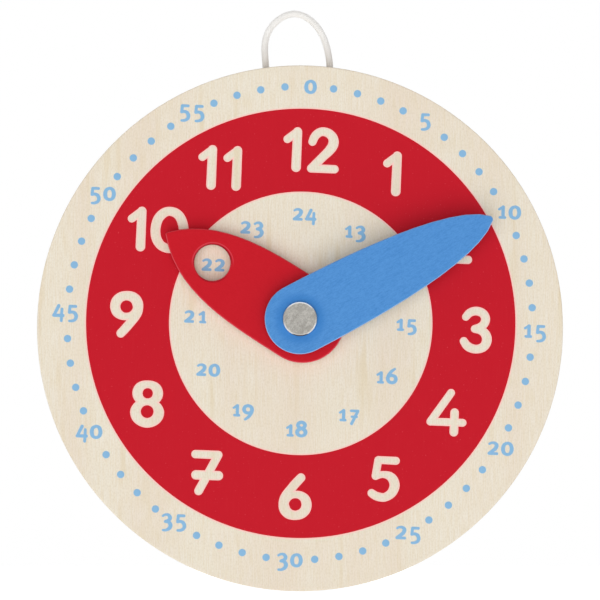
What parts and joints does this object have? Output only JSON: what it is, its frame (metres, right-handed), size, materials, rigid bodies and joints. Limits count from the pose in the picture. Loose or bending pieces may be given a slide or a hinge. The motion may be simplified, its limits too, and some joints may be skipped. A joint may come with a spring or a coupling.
{
  "type": "wooden teaching clock",
  "caption": "Round plywood dial board on a hanging cord loop, with a short windowed hour hand and a long minute hand turned by hand on one rivet.",
  "frame": {"origin": "middle of the dial board's front face; the middle of the box without the cord lies 0.85 mm in front of it", "axes": "+Z to the top of the board as it hangs, +X to the right of a person who looks at the dial, -Y out of the dial towards that person"},
  "size_m": [0.16, 0.0177, 0.1768],
  "materials": {
    "birch_plywood": "bare sanded birch plywood, fine upright grain, matt",
    "red_lacquer": "satin red lacquer on birch plywood",
    "blue_lacquer": "satin blue lacquer on birch plywood, grain showing faintly",
    "nickelled_steel": "dull nickel plate with fine scratches",
    "spring_steel": "dark oiled spring steel",
    "black_fibre": "matt black fibre",
    "white_braid": "white satin braid"
  },
  "bodies": {
    "board": {"dial_board": "birch_plywood", "pivot_rivet": "nickelled_steel", "board_washer": "black_fibre", "hand_washer": "black_fibre", "spring_washer": "spring_steel", "back_washer": "nickelled_steel", "hanging_cord": "white_braid"},
    "hour_hand": {"hour_hand": "red_lacquer"},
    "minute_hand": {"minute_hand": "blue_lacquer"}
  },
  "joints": [
    {"name": "hour_hand_turn", "type": "hinge", "parent": "board", "child": "hour_hand", "pos_m": [0, -0.0026, 0.0029], "axis": [0, 1, 0], "continuous": true},
    {"name": "minute_hand_turn", "type": "hinge", "parent": "board", "child": "minute_hand", "pos_m": [0, -0.0067, 0.0029], "axis": [0, 1, 0], "continuous": true}
  ]
}
